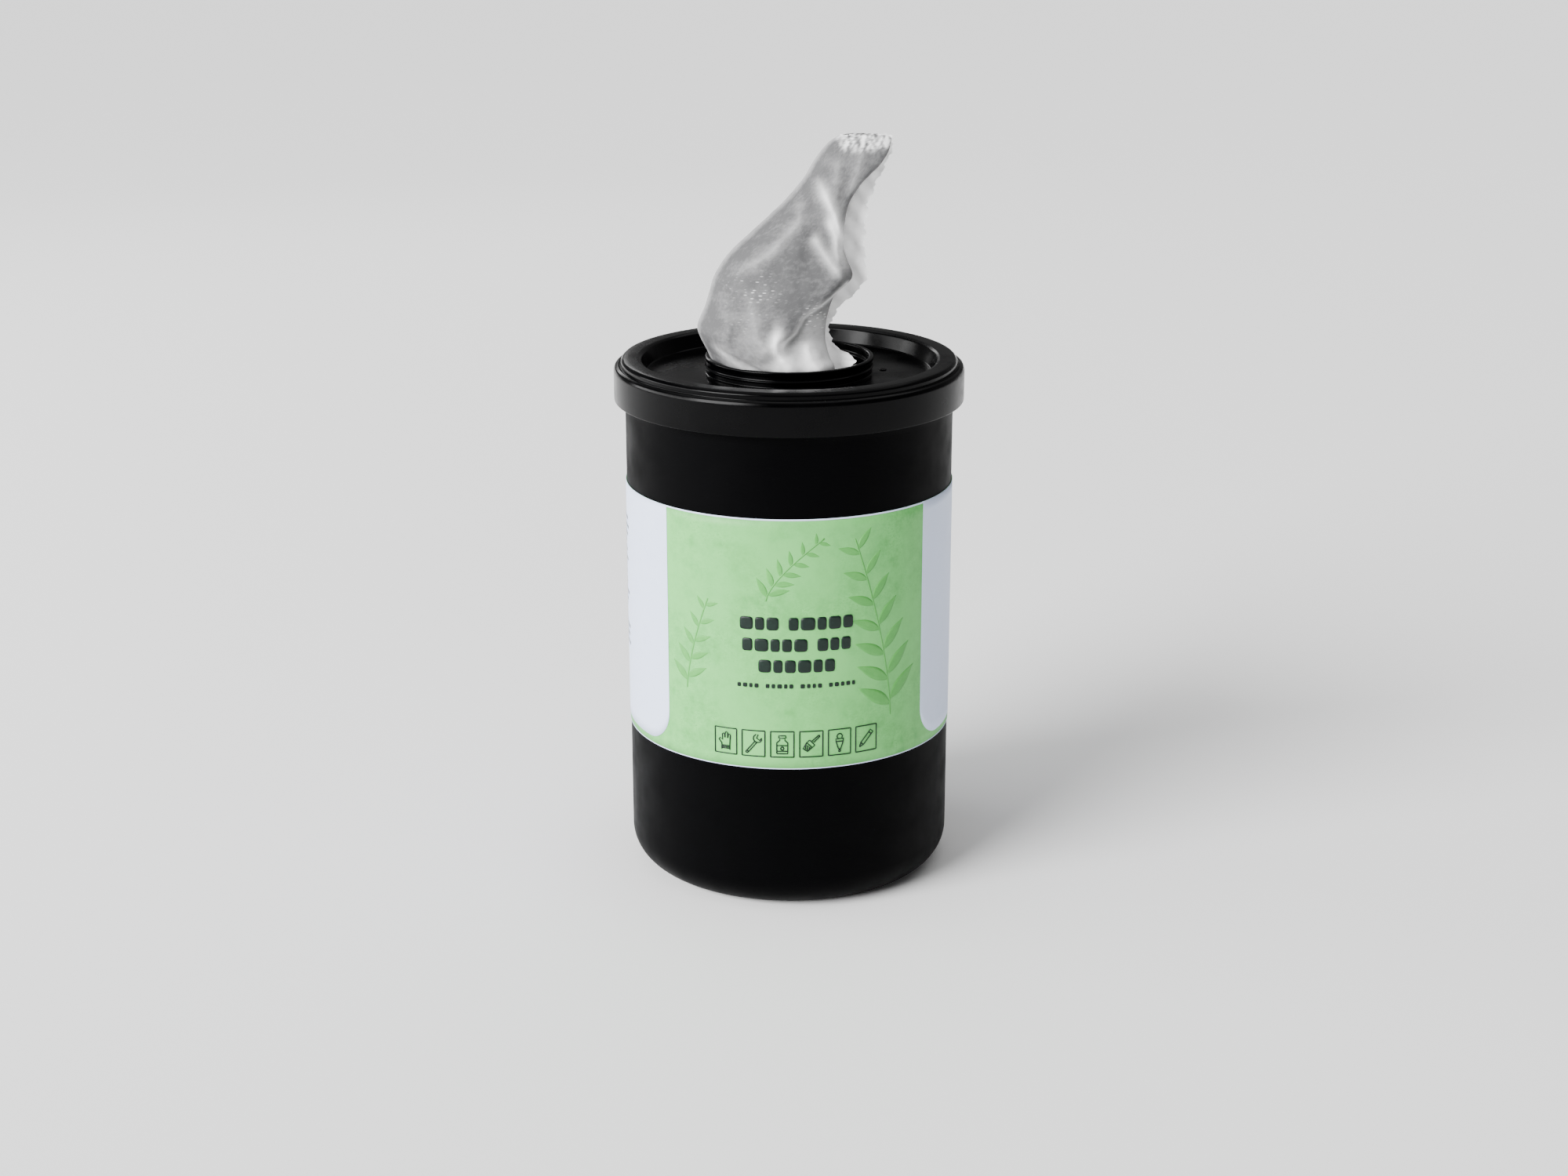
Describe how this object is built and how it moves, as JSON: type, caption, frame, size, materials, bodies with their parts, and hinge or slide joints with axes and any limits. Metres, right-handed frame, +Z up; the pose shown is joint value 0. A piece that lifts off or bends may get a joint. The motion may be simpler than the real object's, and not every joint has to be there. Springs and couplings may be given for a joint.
{
  "type": "wipes canister",
  "caption": "Black canister of wet wipes with a lift-off lid, a wrap-round label and the first wipe pulled up through the lid's collar.",
  "frame": {"origin": "on the canister's axis, in the plane of the foot ring that it stands on", "axes": "+Z up along the canister's axis, -Y towards the front of the label, +X to the right as seen from the front"},
  "size_m": [0.1238, 0.1238, 0.2655],
  "materials": {
    "black_tub": "satin",
    "black_lid": "gloss",
    "label_green": "satin",
    "label_white": "satin",
    "sprig_green": "satin",
    "print_dark": "satin",
    "cloth": "matte"
  },
  "bodies": {
    "tub": {"tub": "black_tub", "wipe_roll": "cloth", "label": "label_green", "label_panel_left": "label_white", "label_panel_right": "label_white", "label_sprig": "sprig_green", "label_bar_1": "print_dark", "label_bar_2": "print_dark", "label_bar_3": "print_dark", "label_bar_4": "print_dark", "pictogram_glove": "print_dark", "pictogram_spanner": "print_dark", "pictogram_bottle": "print_dark", "pictogram_brush": "print_dark", "pictogram_dropper": "print_dark", "pictogram_pen": "print_dark"},
    "lid": {"lid": "black_lid", "pulled_wipe": "cloth"}
  },
  "joints": [
    {"name": "lid_lift", "type": "slide", "parent": "tub", "child": "lid", "axis": [0, 0, 1], "range_m": [0, 0.15]}
  ]
}
